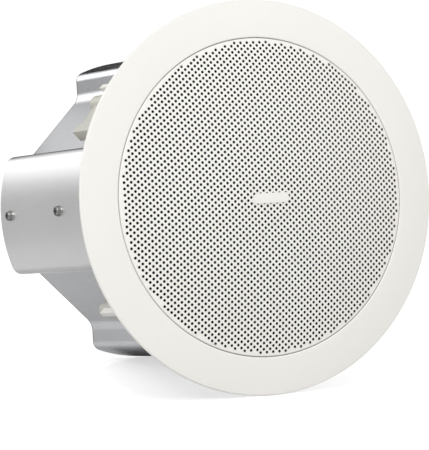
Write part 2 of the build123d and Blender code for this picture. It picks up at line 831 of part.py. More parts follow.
# Half-roll rubber surround between the cone and the basket
with BuildPart() as surround:
    with BuildSketch(Plane.XY):
        with BuildLine():
            roll_inner = cone_edge
            roll_outer = roll_inner + 2 * roll_radius
            roll_middle = roll_inner + roll_radius
            land_front = flange_front - surround_rubber
            land_outer = driver_screw_circle - driver_screw_head - surround_screw_gap
            first = Line((cone_edge - surround_land, land_front), (roll_inner - surround_rubber, land_front))
            front_arc = ThreePointArc(
                first @ 1,
                (roll_middle, land_front - roll_radius - surround_rubber),
                (roll_outer + surround_rubber, land_front),
            )
            lands = Polyline(
                front_arc @ 1,
                (land_outer, land_front),
                (land_outer, flange_front),
                (roll_outer, flange_front),
            )
            back_arc = ThreePointArc(
                lands @ 1, (roll_middle, flange_front - roll_radius), (roll_inner, flange_front)
            )
            Polyline(back_arc @ 1, (cone_edge - surround_land, flange_front), first @ 0)
        make_face()
    revolve(axis=Axis.Y)
save(surround, "surround")

# Woofer cone, open in the middle for the tweeter
with BuildPart() as woofer_cone:
    with BuildSketch(Plane.XY):
        with BuildLine():
            face_line = ThreePointArc(
                (cone_edge - surround_land, flange_front),
                (cone_curve_radius, cone_curve_depth),
                (former_outer, cone_neck_depth),
            )
            neck = Line(face_line @ 1, (former_outer, cone_neck_depth + cone_thickness))
            back_line = ThreePointArc(
                neck @ 1,
                (cone_curve_radius, cone_curve_depth + cone_thickness),
                (cone_edge - surround_land, flange_front + cone_thickness),
            )
            Polyline(
                back_line @ 1,
                (cone_edge - cone_thickness, flange_front + cone_thickness),
                (cone_edge - cone_thickness, flange_front),
                face_line @ 0,
            )
        make_face()
    revolve(axis=Axis.Y)
save(woofer_cone, "woofer_cone")

# Corrugated spider that centres the voice coil
with BuildPart() as spider:
    with BuildSketch(Plane.XY):
        spider_middle = basket_ledge_depth - spider_cloth
        wave_inner = former_outer + spider_neck
        wave_step = (basket_ledge_inner - wave_inner) / (2 * spider_wave_count)
        crests = [
            (wave_inner + (n + 0.5) * wave_step, spider_middle - spider_wave * (-1) ** n)
            for n in range(2 * spider_wave_count - 1)
        ]
        land = [(basket_ledge_inner, spider_middle), (basket_ledge_outer, spider_middle)]
        front_side = [(former_outer, spider_middle), *crests, *land]
        back_side = [(r, y + spider_cloth) for r, y in reversed(front_side)]
        Polygon(*front_side, *back_side, align=None)
    revolve(axis=Axis.Y)
save(spider, "spider")

with BuildPart() as voice_coil_former:
    with BuildSketch(front_plane(former_front)):
        Circle(former_outer)
        Circle(former_inner, mode=Mode.SUBTRACT)
    extrude(amount=-(former_rear - former_front))
save(voice_coil_former, "voice_coil_former")

with BuildPart() as voice_coil_winding:
    with BuildSketch(front_plane(winding_front)):
        Circle(winding_outer)
        Circle(former_outer, mode=Mode.SUBTRACT)
    extrude(amount=-(winding_rear - winding_front))
save(voice_coil_winding, "voice_coil_winding")

# Magnet system: top plate, ferrite ring and yoke with its pole
with BuildPart() as top_plate:
    with BuildSketch(front_plane(top_plate_front)):
        Circle(top_plate_radius)
        Circle(winding_outer + winding_gap, mode=Mode.SUBTRACT)
    extrude(amount=-top_plate_thickness)
save(top_plate, "top_plate")

with BuildPart() as ferrite_ring:
    with BuildSketch(front_plane(ferrite_front)):
        Circle(ferrite_radius)
        Circle(ferrite_bore, mode=Mode.SUBTRACT)
    extrude(amount=-ferrite_thickness)
    ferrite_rims = ferrite_ring.edges().filter_by(GeomType.CIRCLE).group_by(SortBy.RADIUS)[-1]
    chamfer(ferrite_rims, ring_edge_round)
save(ferrite_ring, "ferrite_ring")

with BuildPart() as yoke:
    with BuildSketch(front_plane(yoke_front)):
        Circle(yoke_radius)
    extrude(amount=-yoke_thickness)
    with BuildSketch(front_plane(yoke_front)):
        Circle(pole_radius)
    extrude(amount=yoke_front - top_plate_front)
    with BuildSketch(front_plane(top_plate_front)):
        Circle(pole_bore)
    extrude(amount=-(yoke_front - top_plate_front + yoke_thickness), mode=Mode.SUBTRACT)
save(yoke, "yoke")

# Solder strip on the back of the basket's ledge
with BuildPart() as driver_strip:
    strip_inner = basket_ledge_inner + basket_sheet + strip_margin
    with BuildSketch(front_plane(basket_ledge_depth + basket_sheet)):
        with Locations((strip_inner + strip_length / 2, 0)):
            RectangleRounded(strip_length, strip_width, strip_thickness)
    extrude(amount=-strip_thickness)
save(driver_strip, "driver_strip")

# Tweeter: stem in the pole, housing, magnet and dome
with BuildPart() as tweeter_stem:
    with BuildSketch(front_plane(tweeter_rear)):
        Circle(tweeter_neck_radius)
    extrude(amount=-(tweeter_neck_rear - tweeter_rear))
    with BuildSketch(front_plane(tweeter_rear)):
        Circle(pole_bore - running_gap)
    extrude(amount=-(tweeter_stem_rear - tweeter_rear))
save(tweeter_stem, "tweeter_stem")

with BuildPart() as tweeter_housing:
    with BuildSketch(Plane.XY):
        Polygon(
            (0, tweeter_rear),
            (tweeter_radius - tweeter_wall, tweeter_rear),
            (tweeter_radius, tweeter_rear - tweeter_wall),
            (tweeter_radius, tweeter_front + tweeter_wall),
            (tweeter_radius - tweeter_wall, tweeter_front),
            (tweeter_dome_radius + tweeter_wall, tweeter_front + 2 * tweeter_wall),
            (tweeter_dome_radius, tweeter_front + 2 * tweeter_wall),
            (tweeter_dome_radius, tweeter_front + 3 * tweeter_wall),
            (tweeter_magnet_radius, tweeter_front + 3 * tweeter_wall),
            (tweeter_magnet_radius, tweeter_rear - tweeter_wall),
            (0, tweeter_rear - tweeter_wall),
            align=None,
        )
    revolve(axis=Axis.Y)
save(tweeter_housing, "tweeter_housing")

with BuildPart() as tweeter_magnet:
    with BuildSketch(front_plane(tweeter_rear - tweeter_wall)):
        Circle(tweeter_magnet_radius)
    extrude(amount=tweeter_magnet_thickness)
save(tweeter_magnet, "tweeter_magnet")

with BuildPart() as tweeter_dome:
    dome_base = tweeter_front + 2 * tweeter_wall
    dome_ball = (tweeter_dome_radius**2 + tweeter_dome_rise**2) / (2 * tweeter_dome_rise)
    with BuildSketch(front_plane(dome_base)):
        Circle(tweeter_dome_radius)
    extrude(amount=tweeter_dome_rise + tweeter_dome_sheet)
    with Locations((0, dome_base - tweeter_dome_rise + dome_ball, 0)):
        Sphere(dome_ball, mode=Mode.INTERSECT)
        Sphere(dome_ball - tweeter_dome_sheet, mode=Mode.SUBTRACT)
    with BuildSketch(front_plane(dome_base)):
        Circle(tweeter_dome_radius)
        Circle(tweeter_dome_radius - 2 * tweeter_dome_sheet, mode=Mode.SUBTRACT)
    extrude(amount=-tweeter_wall)
save(tweeter_dome, "tweeter_dome")

# Tap selector: switch body behind the baffle and slotted knob in front
with BuildPart() as tap_switch:
    with BuildSketch(front_plane(baffle_thickness)):
        with Locations((0, -tap_circle)):
            Circle(tap_body_radius)
    extrude(amount=-tap_body_length)
    with BuildSketch(front_plane(baffle_thickness)):
        with Locations((0, -tap_circle)):
            Circle(tap_bush_radius - running_gap)
    extrude(amount=baffle_thickness)
    with BuildSketch(front_plane(0)):
        with Locations((0, -tap_circle)):
            Circle(tap_shaft_radius + running_gap)
    extrude(amount=-(baffle_thickness + tap_bore_reach), mode=Mode.SUBTRACT)
save(tap_switch, "tap_switch")

with BuildPart() as tap_knob:
    with BuildSketch(front_plane(tap_knob_rear)):
        with Locations((0, -tap_circle)):
            Circle(tap_knob_radius)
            with PolarLocations(tap_knob_radius, tap_knob_flutes):
                Circle(tap_slot_width / 2, mode=Mode.SUBTRACT)
    extrude(amount=tap_knob_rear - tap_knob_front)
    with BuildSketch(front_plane(tap_knob_rear)):
        with Locations((0, -tap_circle)):
            Circle(tap_shaft_radius)
    extrude(amount=-(baffle_thickness + tap_shaft_reach))
    with BuildSketch(front_plane(tap_knob_front)):
        with Locations((0, -tap_circle)):
            Rectangle(tap_slot_width, tap_slot_length)
    extrude(amount=-tap_slot_depth, mode=Mode.SUBTRACT)
save(tap_knob, "tap_knob")

# Line transformer: laminated core, coil and the bracket that holds it off the rear plate
with BuildPart() as transformer_core:
    with BuildSketch(front_plane(core_front)):
        Rectangle(core_width, core_height)
        window_x = (core_width - 2 * core_window_width) / 4 + core_window_width / 2
        with Locations((-window_x, 0), (window_x, 0)):
            Rectangle(core_window_width, core_window_height, mode=Mode.SUBTRACT)
    extrude(amount=-core_stack)
save(transformer_core, "transformer_core")

with BuildPart() as transformer_coil:
    leg = (core_width - 2 * core_window_width) / 2
    coil_width = leg + 2 * core_window_width - 2 * coil_gap
    with BuildSketch(front_plane(core_front - coil_proud)):
        RectangleRounded(coil_width, core_window_height - 2 * coil_gap, coil_proud / 2)
    extrude(amount=-(core_stack + 2 * coil_proud))
    with BuildSketch(front_plane(core_front - coil_gap)):
        Rectangle(leg + 2 * coil_gap, core_height)
    extrude(amount=-(core_stack + 2 * coil_gap), mode=Mode.SUBTRACT)
save(transformer_coil, "transformer_coil")

with BuildPart() as transformer_bracket:
    bracket_half = core_width / 2 + bracket_sheet
    with BuildSketch(front_plane(core_front - bracket_sheet)):
        Rectangle(2 * bracket_half, core_height)
        window = (coil_width + 2 * bracket_window_gap, core_window_height + 2 * bracket_window_gap)
        Rectangle(*window, mode=Mode.SUBTRACT)
    extrude(amount=-bracket_sheet)
    with BuildSketch(front_plane(core_front)):
        Rectangle(2 * bracket_half, bracket_width)
        Rectangle(core_width, bracket_width, mode=Mode.SUBTRACT)
    extrude(amount=-(dish_face - core_front))
    with BuildSketch(front_plane(dish_face)):
        foot_x = bracket_half + bracket_foot / 2
        with Locations((-foot_x, 0), (foot_x, 0)):
            Rectangle(bracket_foot, bracket_width)
            Circle(cover_screw_radius, mode=Mode.SUBTRACT)
    extrude(amount=bracket_sheet)
save(transformer_bracket, "transformer_bracket")

# Crossover board on spacers, with its parts
board_plane = Plane(origin=(-board_inner, 0, 0), x_dir=(0, 1, 0), z_dir=(1, 0, 0))
board_middle = board_front + board_length / 2
spacer_grid = (board_length - 2 * board_spacer_inset, board_height - 2 * board_spacer_inset)
with BuildPart() as crossover_board:
    with BuildSketch(board_plane):
        with Locations((board_middle, 0)):
            Rectangle(board_length, board_height)
    extrude(amount=-board_thickness)
save(crossover_board, "crossover_board")

with BuildPart() as board_spacers:
    with BuildSketch(board_plane.offset(-board_thickness)):
        with Locations((board_middle, 0)):
            with GridLocations(*spacer_grid, 2, 2):
                Circle(board_spacer_radius)
    extrude(amount=-board_spacer)
save(board_spacers, "board_spacers")

with BuildPart() as crossover_inductor:
    with BuildSketch(board_plane):
        with Locations((board_middle + inductor_place[0], inductor_place[1])):
            Circle(inductor_radius)
            Circle(inductor_bore, mode=Mode.SUBTRACT)
    extrude(amount=inductor_height)
save(crossover_inductor, "crossover_inductor")

with BuildPart() as crossover_capacitor:
    capacitor_plane = Plane(
        origin=(capacitor_radius - board_inner, board_middle + capacitor_place[0], capacitor_place[1]),
        z_dir=(0, 1, 0),
    )
    with BuildSketch(capacitor_plane):
        Circle(capacitor_radius)
    extrude(amount=capacitor_length)
    chamfer(crossover_capacitor.edges().filter_by(GeomType.CIRCLE), ring_edge_round)
save(crossover_capacitor, "crossover_capacitor")

with BuildPart() as crossover_resistor:
    with BuildSketch(board_plane):
        with Locations((board_middle + resistor_place[0], resistor_place[1])):
            Rectangle(resistor_length, resistor_width)
    extrude(amount=resistor_width)
save(crossover_resistor, "crossover_resistor")

# Connector socket on the partition and its plug, facing the cable entry
with BuildPart() as connector_socket:
    socket_plane = front_plane(socket_front)
    socket_x = -partition_distance - socket_height / 2
    with BuildSketch(socket_plane):
        with Locations((socket_x, 0)):
            Rectangle(socket_height, socket_width)
    extrude(amount=-socket_length)
    with BuildSketch(front_plane(socket_front + socket_length)):
        with Locations((socket_x, 0)):
            Rectangle(socket_height - 2 * socket_wall, socket_width - 2 * socket_wall)
    extrude(amount=plug_insert + socket_floor_gap, mode=Mode.SUBTRACT)
save(connector_socket, "connector_socket")

with BuildPart() as connector_plug:
    plug_height = socket_height - 2 * socket_wall - 2 * plug_gap
    plug_width = socket_width - 2 * socket_wall - 2 * plug_gap
    with BuildSketch(front_plane(plug_front)):
        with Locations((socket_x, 0)):
            Rectangle(plug_height, plug_width)
    extrude(amount=-plug_length)
    with BuildSketch(front_plane(plug_front + plug_length)):
        with Locations((socket_x, 0)):
            with GridLocations(0, plug_pitch, 1, plug_ways):
                Circle(plug_wire_radius)
    extrude(amount=plug_wire_depth, mode=Mode.SUBTRACT)
    plug_top = Plane(
        origin=(socket_x - plug_height / 2, plug_front + plug_screw_place, 0),
        x_dir=(0, 1, 0),
        z_dir=(-1, 0, 0),
    )
    with BuildSketch(plug_top):
        with GridLocations(0, plug_pitch, 1, plug_ways):
            Circle(plug_wire_radius)
    extrude(amount=-plug_screw_depth, mode=Mode.SUBTRACT)
save(connector_plug, "connector_plug")

# Internal leads, held between the parts they join
board_face = -board_inner - lead_sink
coil_front = core_front - coil_proud
strip_rear = basket_ledge_depth + basket_sheet + strip_thickness
lead_routes = {
    "driver_lead": [
        (board_face, board_front + 3, 21),
        (-44, board_front - 0.5, 23),
        (-30, board_front - 4, 29),
        (-8, board_front - 5, 34),
        (22, board_front - 5, 31),
        (44, strip_rear + 22.4, 16),
        (46, strip_rear + 9.4, 6),
        (40.5, strip_rear - lead_sink, 1),
    ],
    "input_lead": [
        (-partition_inside - lead_sink, coil_front - 10.5, -26.5),
        (-48, coil_front - 10.5, -27),
        (-32, coil_front - 9.5, -26),
        (-16, coil_front - 6.5, -16),
        (-7, coil_front - 3, -6),
        (-6, coil_front + lead_sink, -4),
    ],
    "transformer_lead": [
        (6, coil_front + lead_sink, 4),
        (4, coil_front - 7.5, 6),
        (-12, coil_front - 12.5, 5),
        (-36, coil_front - 15.5, 2),
        (-45, coil_front - 18, 0.5),
        (board_face, coil_front - 19, 0),
    ],
}
for name, points in lead_routes.items():
    runs = [(Vector(*b) - Vector(*a)).length for a, b in zip(points, points[1:])]
    radii = []
    for before, here, after, run_in, run_out in zip(points, points[1:], points[2:], runs, runs[1:]):
        turn = (Vector(*here) - Vector(*before)).get_angle(Vector(*after) - Vector(*here))
        radii.append(lead_bend_share * min(run_in, run_out) / sin(radians(turn / 2)) * cos(radians(turn / 2)))
    with BuildPart() as lead:
        with BuildLine():
            FilletPolyline(*points, radius=radii)
        with BuildSketch(Plane(origin=points[0], z_dir=Vector(*points[1]) - Vector(*points[0]))):
            Circle(lead_radius)
        sweep()
    save(lead, name)
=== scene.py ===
import json
import math

import bpy
import numpy as np
from mathutils import Matrix, Vector
from mathutils.geometry import delaunay_2d_cdt


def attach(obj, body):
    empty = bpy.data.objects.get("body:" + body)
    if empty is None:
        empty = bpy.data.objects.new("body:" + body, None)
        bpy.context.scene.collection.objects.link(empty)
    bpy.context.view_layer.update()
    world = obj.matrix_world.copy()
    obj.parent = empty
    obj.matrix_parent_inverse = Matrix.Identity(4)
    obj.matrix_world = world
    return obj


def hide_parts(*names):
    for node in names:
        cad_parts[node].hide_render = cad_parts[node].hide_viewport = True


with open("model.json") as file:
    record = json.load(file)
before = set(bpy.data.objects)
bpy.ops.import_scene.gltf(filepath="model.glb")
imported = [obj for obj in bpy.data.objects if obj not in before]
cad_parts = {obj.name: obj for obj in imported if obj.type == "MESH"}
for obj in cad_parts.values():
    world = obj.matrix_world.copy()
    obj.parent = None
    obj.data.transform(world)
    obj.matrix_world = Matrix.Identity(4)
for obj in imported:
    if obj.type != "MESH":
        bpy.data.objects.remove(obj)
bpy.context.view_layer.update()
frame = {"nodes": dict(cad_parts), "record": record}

MM = 0.001

# Camera, found from the photo's own perspective
CAMERA_PLACE = (-0.7635, -1.4081, -0.0253)
CAMERA_AIM = (-0.0203, 0.0088, -0.0120)
CAMERA_ROLL = math.radians(3.72)
PHOTO_HEIGHT = 450
FOCAL_PIXELS = 3307.7
SENSOR = 36.0

# Grille, the same outline as the CAD's dome, in thinner sheet so that the holes read dark
GRILLE_RADIUS = 77.0 * MM
GRILLE_FRONT = -4.1 * MM
GRILLE_RISE = 7.75 * MM
GRILLE_SHEET = 0.3 * MM
GRILLE_FLANGE = 2.7 * MM
GRILLE_SHOULDER = 0.6 * MM
SHOULDER_DROP = 0.72 * MM
SHOULDER_BACK = 0.2 * MM
SHOULDER_STEPS = 4
RIM_SIDES = 288

# Perforation: staggered rows, counted from one hole below the badge
HOLE_RADIUS = 0.76 * MM
HOLE_SIDES = 8
HOLE_PITCH_X = 3.4513 * MM
HOLE_PITCH_Z = 2.994 * MM
HOLE_ORIGIN = (-4.9275 * MM, -16.5078 * MM)
HOLE_FIELD = 75.5 * MM

# Triangulation of the holed sheet: only what lies inside its outline is kept
KEEP_INSIDE = 1
CUT_TOLERANCE = 1e-7

# Trim ring's crown, the same sizes as the CAD's, and the coat over it, with turns in degrees
RING_RADIUS = 96.0 * MM
RING_RIM_HEIGHT = 1.4 * MM
RING_CROWN = 0.35 * MM
RING_ROUND = 0.6 * MM
RING_ROUND_CENTRE = 0.642 * MM
GRILLE_GAP = 0.35 * MM
COAT = 0.03 * MM
COAT_STEPS = 12
COAT_EDGE_TURNS = (-155, -140, -125, -110, -96)

# The speaker lies on its rim and on the can's rear edge, so the floor slopes in its frame
FLOOR_SLOPE = 0.1453
FLOOR_TILT = math.atan(FLOOR_SLOPE)
FLOOR_REACH = 30.0
FLOOR_GREY = 208
FLOOR_POLISH = 0.2
FLOOR_ROUGHNESS = 0.06
FLOOR_GLOW = 0.62

# Strength of the white room as light and in reflections
WORLD_LIGHT = 0.55
WORLD_REFLECTED = 0.75

WHITE = (1, 1, 1, 1)
SQUARE = ((-1, -1), (1, -1), (1, 1), (-1, 1))
LACQUER_ROUGHNESS = 0.1
MATERIALS = {}


def srgb(*channels):
    """Linear colour from sRGB values of 0 to 255."""
    linear = []
    for channel in channels:
        c = channel / 255
        linear.append(c / 12.92 if c <= 0.04045 else ((c + 0.055) / 1.055) ** 2.4)
    return (*linear, 1.0)


# Shaders
class Nodes:
    """Short calls that build one node tree."""

    def __init__(self, tree):
        self.tree = tree

    def node(self, kind, sockets=None, **values):
        """Adds a node with its own values, and fills its named or numbered sockets."""
        made = self.tree.nodes.new(kind)
        for key, value in values.items():
            setattr(made, key, value)
        for key, value in (sockets or {}).items():
            self.fill(made.inputs[key], value)
        return made

    def fill(self, socket, value):
        """Links another node's output to a socket, or sets a constant on it."""
        if isinstance(value, bpy.types.NodeSocket):
            self.tree.links.new(value, socket)
        else:
            socket.default_value = value


class Shader(Nodes):
    """A material with one Principled shader, kept by its name in MATERIALS."""

    def __init__(self, name, base, roughness, metallic=0.0, specular=0.5, coat=0.0):
        material = bpy.data.materials.new(name)
        material.use_nodes = True
        super().__init__(material.node_tree)
        self.inputs = self.tree.nodes["Principled BSDF"].inputs
        self.place = self.node("ShaderNodeTexCoord").outputs
        self.roughness = roughness
        self.paint(base)
        self.fill(self.inputs["Roughness"], roughness)
        self.fill(self.inputs["Metallic"], metallic)
        self.fill(self.inputs["Specular IOR Level"], specular)
        self.fill(self.inputs["Coat Weight"], coat)
        self.fill(self.inputs["Coat Roughness"], LACQUER_ROUGHNESS)
        MATERIALS[name] = material

    def paint(self, colour):
        """Makes a constant or another node's output the colour so far."""
        self.colour = colour
        self.fill(self.inputs["Base Color"], colour)

    def noise(self, scale, detail, stretch=(1, 1, 1), roughness=0.5):
        """Noise fixed to the piece, stretched along its axes."""
        mapping = self.node("ShaderNodeMapping", {"Vector": self.place["Object"], "Scale": stretch})
        sockets = {
            "Vector": mapping.outputs["Vector"],
            "Scale": scale,
            "Detail": detail,
            "Roughness": roughness,
        }
        return self.node("ShaderNodeTexNoise", sockets).outputs["Fac"]

    def remap(self, value, low, high, from_low=0.3, from_high=0.7):
        """Spreads a value's middle range from low to high."""
        sockets = {
            "Value": value,
            "From Min": from_low,
            "From Max": from_high,
            "To Min": low,
            "To Max": high,
        }
        return self.node("ShaderNodeMapRange", sockets).outputs["Result"]

    def mix(self, share, other):
        """Mixes the colour so far with another."""
        sockets = {"Factor": share, "A": self.colour, "B": other}
        self.paint(self.node("ShaderNodeMix", sockets, data_type="RGBA").outputs["Result"])

    def cloud(self, other, scale, detail=3, share=0.7):
        """Lets another colour drift through the base in slow clouds."""
        self.mix(self.remap(self.noise(scale, detail), 0.0, share), other)

    def gloss(self, value, below, above):
        """Lets the roughness vary with a value, from a little below to a little above."""
        low = self.roughness - below
        high = self.roughness + above
        self.fill(self.inputs["Roughness"], self.remap(value, low, high))

    def bump(self, value, distance, strength):
        sockets = {"Strength": strength, "Distance": distance, "Height": value}
        self.fill(self.inputs["Normal"], self.node("ShaderNodeBump", sockets).outputs["Normal"])

    def edge(self, colour, axis, low, high):
        """Colours the faces whose own normal's axis lies between low and high: painted shade and painted
        dark reflection, laid on by the way the faces turn.
        """
        split = self.node("ShaderNodeSeparateXYZ", {"Vector": self.place["Normal"]})
        self.mix(self.remap(split.outputs[axis], 0.0, 1.0, low, high), colour)


def painted(name, base, other, roughness):
    """Paint or moulded plastic: a faint fine grain in bump and gloss, and a slow tint."""
    shader = Shader(name, base, roughness)
    grain = shader.noise(scale=1600, detail=3)
    shader.cloud(other, scale=18, share=0.6)
    shader.gloss(grain, below=0.05, above=0.08)
    shader.bump(grain, distance=0.03 * MM, strength=0.25)


def sheet_metal(name, base, other, roughness, stretch):
    """Bright rolled sheet with fine lines along one way and a slow cloudy tint."""
    shader = Shader(name, base, roughness, metallic=1.0)
    lines = shader.noise(scale=60, detail=6, stretch=stretch, roughness=0.7)
    shader.cloud(other, scale=14, detail=4)
    shader.gloss(lines, below=0.07, above=0.1)
    shader.bump(lines, distance=0.03 * MM, strength=0.15)
    return shader


def turned_metal(name, base, other, roughness=0.25):
    """Turned, wound or plated metal: fine marks in every direction."""
    shader = Shader(name, base, roughness, metallic=1.0)
    marks = shader.noise(scale=900, detail=3)
    shader.cloud(other, scale=250)
    shader.gloss(marks, below=0.06, above=0.1)
    shader.bump(marks, distance=0.02 * MM, strength=0.2)


def cloth(name, base, other, thread=1800):
    """Woven cloth or open foam: matt, with its threads or cells in bump and colour."""
    shader = Shader(name, base, roughness=0.9, specular=0.15)
    weave = shader.noise(scale=thread, detail=2)
    shader.mix(shader.remap(weave, 0.0, 1.0), other)
    shader.bump(weave, distance=0.08 * MM, strength=0.4)


def plastic(name, base, other, roughness, coat=0.0):
    """Smooth plastic, rubber, paper or lacquer, with a coat where it shines."""
    shader = Shader(name, base, roughness, coat=coat)
    grain = shader.noise(scale=1200, detail=3)
    shader.cloud(other, scale=40, share=0.6)
    shader.gloss(grain, below=0.05, above=0.1)
    shader.bump(grain, distance=0.03 * MM, strength=0.2)


# Materials of what the photo shows
painted("ring_moulding", srgb(241, 239, 234), srgb(238, 236, 230), 0.42)
painted("grille_paint", srgb(243, 241, 236), srgb(240, 237, 231), 0.45)
painted("clamp_plastic", srgb(200, 198, 188), srgb(190, 188, 176), 0.36)
sheet_metal("can_steel", srgb(214, 215, 217), srgb(204, 205, 208), 0.2, (40, 1, 40))
rear_plate = sheet_metal("plate_steel", srgb(208, 209, 211), srgb(198, 199, 202), 0.3, (40, 1, 40))
# Painted shade: the plate's faces that do not face straight back are darkened, standing in for the shadow
# and dark reflection in the seam at the can's rear rim.
rear_plate.edge(srgb(62, 62, 64), axis="Y", low=0.95, high=0.75)
cover = sheet_metal("cover_steel", srgb(226, 226, 226), srgb(218, 218, 219), 0.3, (1, 60, 60))
# Painted shade: the cover's upward-facing top fold is darkened, standing in for the shadow gap and dark
# reflection where it meets the can's slanted flat.
cover.edge(srgb(84, 84, 86), axis="Z", low=0.8, high=0.98)
turned_metal("screw_steel", srgb(158, 158, 156), srgb(128, 128, 126), 0.26)
cloth("black_cloth", srgb(8, 8, 8), srgb(14, 14, 14))

# Materials of the pieces that the photo hides
sheet_metal("core_steel", srgb(126, 126, 128), srgb(100, 100, 102), 0.4, (1, 90, 1))
turned_metal("brass", srgb(214, 178, 104), srgb(196, 156, 84))
turned_metal("magnet_nickel", srgb(206, 204, 196), srgb(190, 188, 180), 0.15)
turned_metal("copper", srgb(196, 112, 70), srgb(170, 88, 50), 0.3)
turned_metal("plated_iron", srgb(188, 188, 184), srgb(170, 170, 166), 0.3)
painted("basket_paint", srgb(28, 28, 29), srgb(34, 34, 35), 0.38)
cloth("foam", srgb(62, 62, 64), srgb(44, 44, 46), thread=500)
cloth("spider_cloth", srgb(196, 158, 86), srgb(176, 138, 68))
cloth("dome_silk", srgb(46, 46, 48), srgb(36, 36, 38))
plastic("rubber", srgb(30, 30, 31), srgb(38, 38, 39), 0.6)
plastic("cone_paper", srgb(42, 42, 44), srgb(34, 34, 36), 0.5)
plastic("polyimide", srgb(176, 98, 34), srgb(160, 84, 26), 0.3, coat=0.4)
plastic("ferrite", srgb(56, 56, 58), srgb(46, 46, 48), 0.55)
plastic("black_plastic", srgb(26, 26, 27), srgb(32, 32, 33), 0.4)
plastic("board", srgb(40, 104, 56), srgb(34, 92, 48), 0.35, coat=0.3)
plastic("coil_tape", srgb(222, 190, 70), srgb(208, 174, 56), 0.3, coat=0.3)
plastic("capacitor_film", srgb(164, 36, 32), srgb(148, 30, 28), 0.25, coat=0.4)
plastic("ceramic", srgb(222, 219, 208), srgb(212, 208, 196), 0.6)
plastic("connector_green", srgb(34, 134, 70), srgb(30, 120, 62), 0.35, coat=0.2)
plastic("lead_red", srgb(166, 32, 28), srgb(150, 26, 24), 0.4)
plastic("lead_black", srgb(28, 28, 29), srgb(34, 34, 35), 0.4)

for row in frame["record"]["subparts"]:
    node = frame["nodes"][row["node"]]
    node.data.materials.clear()
    node.data.materials.append(MATERIALS[row["material_slot"]])


# Meshes
def new_piece(name, points, faces, material, smooth=False):
    """A mesh object with one material, in the scene."""
    mesh = bpy.data.meshes.new(name)
    mesh.from_pydata(points, [], faces)
    mesh.update()
    piece = bpy.data.objects.new(name, mesh)
    bpy.context.scene.collection.objects.link(piece)
    mesh.materials.append(material)
    if smooth:
        mesh.shade_smooth()
    return piece


def ring_points(radius, sides, centre=(0.0, 0.0)):
    """X and z of evenly spaced points on a circle, in two columns."""
    turn = np.arange(sides) * 2 * math.pi / sides
    return np.column_stack((centre[0] + radius * np.cos(turn), centre[1] + radius * np.sin(turn)))


def at_depth(flat, y):
    """Points in space from x and z in two columns, at one depth or one for each point."""
    return np.column_stack((flat[:, 0], np.broadcast_to(y, len(flat)), flat[:, 1]))


def band(first, second):
    """Faces between two rings of points, from the number of each ring's first point."""
    faces = []
    for k in range(RIM_SIDES):
        j = (k + 1) % RIM_SIDES
        faces.append((first + j, first + k, second + k, second + j))
    return faces


# Perforated grille
def dome_depth(radius, below=0.0):
    """Y of the grille's dome at a distance from its axis, below its outer face."""
    ball = (GRILLE_RADIUS**2 + GRILLE_RISE**2) / (2 * GRILLE_RISE)
    centre = GRILLE_FRONT - GRILLE_RISE + ball
    return centre - np.sqrt((ball - below) ** 2 - radius**2)


def hole_centres():
    """Centres of the staggered holes, half a pitch apart in neighbouring rows."""
    column_step = HOLE_PITCH_X / 2
    row_step = HOLE_PITCH_Z / 2
    columns = math.ceil((HOLE_FIELD + abs(HOLE_ORIGIN[0])) / column_step)
    rows = math.ceil((HOLE_FIELD + abs(HOLE_ORIGIN[1])) / row_step)
    centres = []
    for column in range(-columns, columns + 1):
        for row in range(-rows, rows + 1):
            x = HOLE_ORIGIN[0] + column * column_step
            z = HOLE_ORIGIN[1] + row * row_step
            if (column + row) % 2 == 0 and math.hypot(x, z) < HOLE_FIELD:
                centres.append((x, z))
    return centres


def cut_field(centres, field):
    """Flat points of a round field and its holes, its triangles, and each hole's point numbers."""
    rings = [ring_points(field, RIM_SIDES)]
    rings += [ring_points(HOLE_RADIUS, HOLE_SIDES, centre) for centre in centres]
    flat = np.vstack(rings)
    starts = range(RIM_SIDES, len(flat), HOLE_SIDES)
    holes = [list(range(start, start + HOLE_SIDES)) for start in starts]
    loops = [list(range(RIM_SIDES)), *holes]
    edges = [(loop[k - 1], loop[k]) for loop in loops for k in range(len(loop))]
    corners = [Vector(point) for point in flat]
    _, _, triangles, *_ = delaunay_2d_cdt(corners, edges, [], KEEP_INSIDE, CUT_TOLERANCE)
    triangles = np.array(triangles)
    hole_of = (np.arange(len(flat)) - RIM_SIDES) // HOLE_SIDES
    owners = hole_of[triangles]
    in_hole = (owners[:, 0] >= 0) & (owners == owners[:, :1]).all(axis=1)
    return flat, triangles[~in_hole], holes


def edge_profile(field):
    """Radius and y of each ring, from the field's front edge round the flange to its back edge."""
    profile = []
    for k in range(1, SHOULDER_STEPS + 1):
        angle = math.radians(90 * k / SHOULDER_STEPS)
        radius = GRILLE_RADIUS - GRILLE_SHOULDER * (1 - math.sin(angle))
        profile.append((radius, dome_depth(field) + SHOULDER_DROP * (1 - math.cos(angle))))
    inside = GRILLE_RADIUS - GRILLE_SHEET
    flange_end = GRILLE_FRONT + GRILLE_FLANGE
    profile.append((GRILLE_RADIUS, flange_end))
    profile.append((inside, flange_end))
    profile.append((inside, dome_depth(field, GRILLE_SHEET) + SHOULDER_BACK))
    return profile


